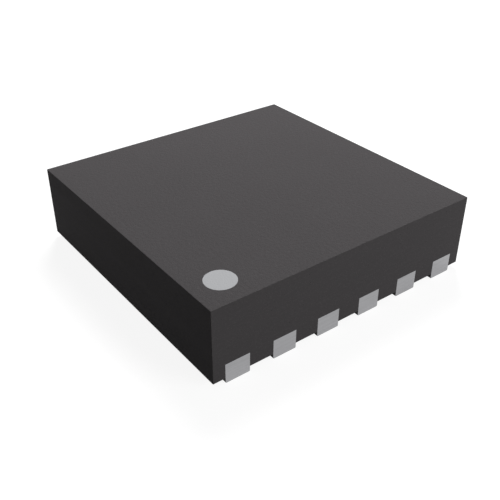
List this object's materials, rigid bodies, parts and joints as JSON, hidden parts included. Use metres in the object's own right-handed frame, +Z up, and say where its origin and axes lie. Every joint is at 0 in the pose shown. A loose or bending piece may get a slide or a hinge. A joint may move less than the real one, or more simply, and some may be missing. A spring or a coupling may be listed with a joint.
{
  "type": "integrated circuit",
  "caption": "Square leadless surface-mount chip: a dark moulded block with flush metal leads along opposite walls, a thermal pad beneath and a light round mark at a corner.",
  "frame": {"origin": "centre of the footprint, on the plane of the lead feet and the thermal pad", "axes": "+X along the row of leads 1 to 6, +Y from that row to the row of leads 7 to 12, +Z up from the board"},
  "size_m": [0.003, 0.003, 0.0008],
  "materials": {
    "mould_compound": "matte",
    "tinned_copper": "satin",
    "mark_ink": "matte",
    "silicon": "gloss",
    "die_epoxy": "satin",
    "gold_wire": "polished"
  },
  "bodies": {
    "root": {"mould_body": "mould_compound", "lead_01": "tinned_copper", "lead_02": "tinned_copper", "lead_03": "tinned_copper", "lead_04": "tinned_copper", "lead_05": "tinned_copper", "lead_06": "tinned_copper", "lead_07": "tinned_copper", "lead_08": "tinned_copper", "lead_09": "tinned_copper", "lead_10": "tinned_copper", "lead_11": "tinned_copper", "lead_12": "tinned_copper", "thermal_pad": "tinned_copper", "pin_one_mark": "mark_ink", "die": "silicon", "die_attach": "die_epoxy", "bond_wire_01": "gold_wire", "bond_wire_02": "gold_wire", "bond_wire_03": "gold_wire", "bond_wire_04": "gold_wire", "bond_wire_05": "gold_wire", "bond_wire_06": "gold_wire", "bond_wire_07": "gold_wire", "bond_wire_08": "gold_wire", "bond_wire_09": "gold_wire", "bond_wire_10": "gold_wire", "bond_wire_11": "gold_wire", "bond_wire_12": "gold_wire"}
  },
  "joints": []
}
